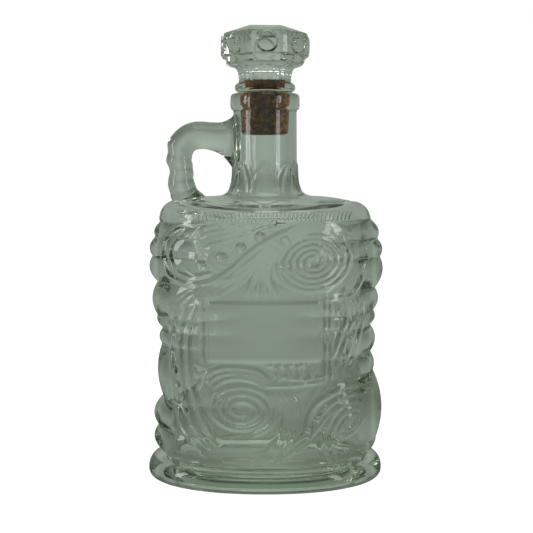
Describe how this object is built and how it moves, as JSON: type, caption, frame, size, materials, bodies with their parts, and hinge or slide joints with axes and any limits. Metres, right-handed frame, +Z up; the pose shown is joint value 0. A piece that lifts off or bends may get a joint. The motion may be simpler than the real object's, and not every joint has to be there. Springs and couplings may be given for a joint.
{
  "type": "glass decanter bottle",
  "caption": "Handled oval glass bottle with scroll relief, a finger loop at the neck, and a faceted glass stopper seated by a cork.",
  "frame": {"origin": "on the table under the middle of the oval foot", "axes": "+Z up along the neck's axis, +X to the bottle's right seen from the front with the handle on -X, -Y towards the front"},
  "size_m": [0.126, 0.0828, 0.2381],
  "materials": {
    "bottle_glass": "moulded, slightly green, clear",
    "cork": "natural cork, matt and pitted",
    "stopper_glass": "pressed, clear"
  },
  "bodies": {
    "bottle": {"glass_bottle": "bottle_glass"},
    "cork": {"cork_plug": "cork"},
    "stopper": {"glass_stopper": "stopper_glass"}
  },
  "joints": [
    {"name": "stopper_lift", "type": "slide", "parent": "bottle", "child": "cork", "axis": [0, 0, 1], "range_m": [0, 0.06]},
    {"name": "stopper_twist", "type": "hinge", "parent": "cork", "child": "stopper", "pos_m": [0, 0, 0.2044], "axis": [0, 0, 1], "continuous": true}
  ]
}
